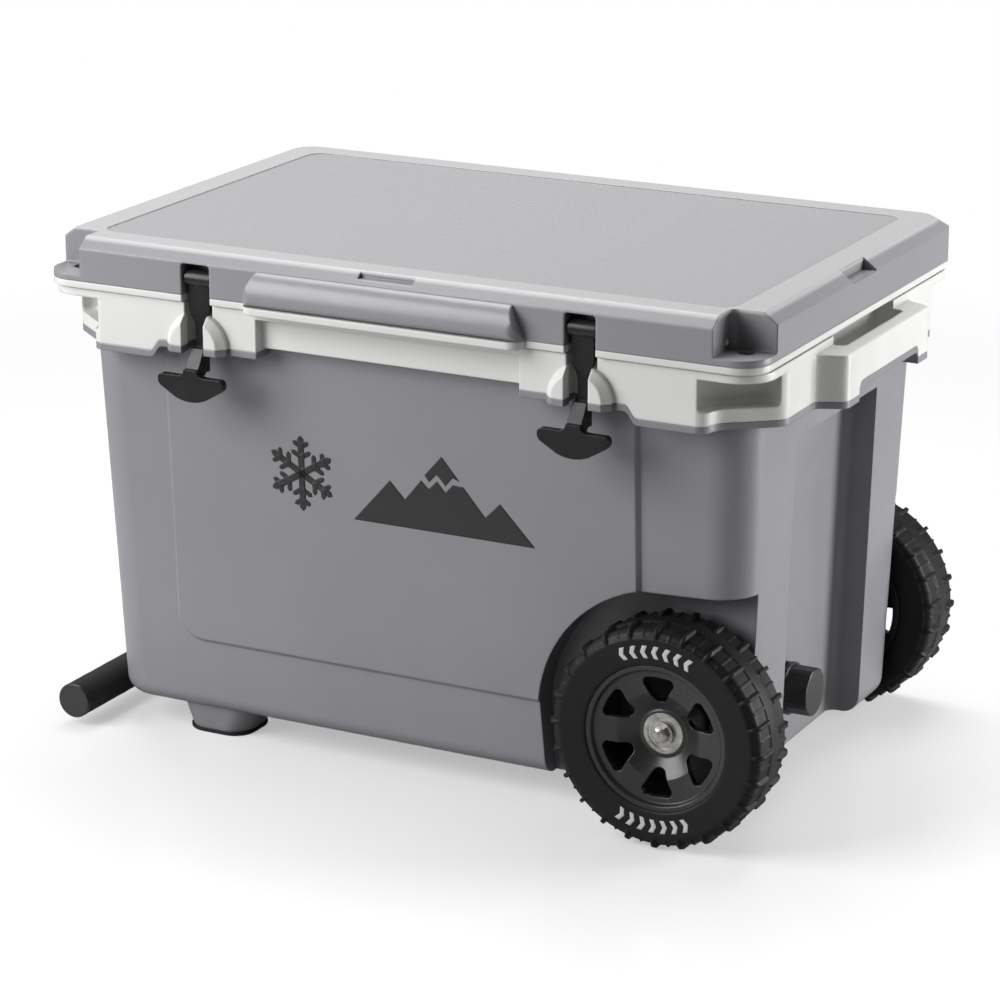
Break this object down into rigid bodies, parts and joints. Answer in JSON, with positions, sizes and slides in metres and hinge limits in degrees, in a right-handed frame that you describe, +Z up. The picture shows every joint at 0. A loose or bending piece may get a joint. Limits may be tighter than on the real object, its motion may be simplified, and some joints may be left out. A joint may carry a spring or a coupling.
{
  "type": "wheeled cooler",
  "caption": "Hard-sided cooler on two large wheels, with a hinged lid, rubber pull latches, end lift handles, a swing-up tow handle and a screw-cap drain.",
  "frame": {"origin": "on the floor under the middle of the cooler", "axes": "+X along the length towards the wheels and drain, -Y to the latch side, +Z up"},
  "size_m": [0.719, 0.462, 0.456],
  "materials": {
    "shell_grey": "fine moulded satin",
    "lid_grey": "fine moulded satin",
    "rim_white": "satin",
    "liner_white": "satin",
    "foam_core": "rigid foam",
    "foot_rubber": "matte",
    "gasket_rubber": "matte",
    "latch_rubber": "matte",
    "steel": "brushed",
    "black_plastic": "satin",
    "black_metal": "powder coat",
    "tyre": "matte",
    "grip_foam": "closed-cell foam"
  },
  "bodies": {
    "base": {"outer_shell": "shell_grey", "rim_collar": "rim_white", "inner_liner": "liner_white", "body_foam": "foam_core", "foot_pad_front": "foot_rubber", "foot_pad_back": "foot_rubber", "hinge_pin_left": "steel", "hinge_pin_right": "steel", "axle_stubs": "steel", "bearing_inner_races": "steel", "bearing_spacers": "steel", "axle_washers": "steel", "axle_bolts": "steel", "axle_anchors": "black_plastic", "handle_bracket_front": "black_plastic", "handle_bracket_back": "black_plastic", "bracket_screws": "steel", "handle_pivot_pins": "steel", "handle_bumpers": "foot_rubber", "drain_spout": "black_plastic", "drain_nut": "black_plastic"},
    "lid": {"lid_shell": "lid_grey", "lock_rivets": "steel", "lid_inner_panel": "rim_white", "lid_gasket": "gasket_rubber", "lid_foam": "foam_core", "latch_pin_left": "steel", "latch_pin_right": "steel"},
    "latch_left": {"latch_strap_left": "latch_rubber", "latch_pull_left": "latch_rubber"},
    "latch_right": {"latch_strap_right": "latch_rubber", "latch_pull_right": "latch_rubber"},
    "wheel_front": {"tyre_front": "tyre", "rim_front": "black_plastic", "bearing_outer_races_front": "steel", "bearing_balls_front": "steel"},
    "wheel_back": {"tyre_back": "tyre", "rim_back": "black_plastic", "bearing_outer_races_back": "steel", "bearing_balls_back": "steel"},
    "tow_handle": {"handle_arm_front": "black_metal", "handle_arm_back": "black_metal", "handle_crossbar": "black_metal", "grip_foam_front": "grip_foam", "grip_foam_middle": "grip_foam", "grip_foam_back": "grip_foam", "grip_end_caps": "black_plastic"},
    "drain_cap_gasket": {"drain_cap_gasket": "gasket_rubber"},
    "drain_cap": {"drain_cap": "black_plastic"}
  },
  "joints": [
    {"name": "lid_hinge", "type": "hinge", "parent": "base", "child": "lid", "pos_m": [0, 0.224, 0.412], "axis": [-1, 0, 0], "range_deg": [0, 100]},
    {"name": "latch_left_pivot", "type": "hinge", "parent": "lid", "child": "latch_left", "pos_m": [-0.18, -0.2085, 0.432], "axis": [-1, 0, 0], "range_deg": [0, 100]},
    {"name": "latch_right_pivot", "type": "hinge", "parent": "lid", "child": "latch_right", "pos_m": [0.18, -0.2085, 0.432], "axis": [-1, 0, 0], "range_deg": [0, 100]},
    {"name": "wheel_front_spin", "type": "hinge", "parent": "base", "child": "wheel_front", "pos_m": [0.2505, -0.19, 0.097], "axis": [0, 1, 0], "continuous": true},
    {"name": "wheel_back_spin", "type": "hinge", "parent": "base", "child": "wheel_back", "pos_m": [0.2505, 0.19, 0.097], "axis": [0, 1, 0], "continuous": true},
    {"name": "tow_handle_pivot", "type": "hinge", "parent": "base", "child": "tow_handle", "pos_m": [-0.3, 0, 0.304], "axis": [0, 1, 0], "range_deg": [0, 100]},
    {"name": "drain_cap_slide", "type": "slide", "parent": "base", "child": "drain_cap_gasket", "axis": [1, 0, 0], "range_m": [0, 0.0106]},
    {"name": "drain_cap_turn", "type": "hinge", "parent": "drain_cap_gasket", "child": "drain_cap", "pos_m": [0.3, -0.03, 0.0865], "axis": [1, 0, 0], "range_deg": [0, 1080]}
  ],
  "couplings": [
    {"joint": "drain_cap_slide", "follows": "drain_cap_turn", "m_per_rad": 0.00055704}
  ]
}
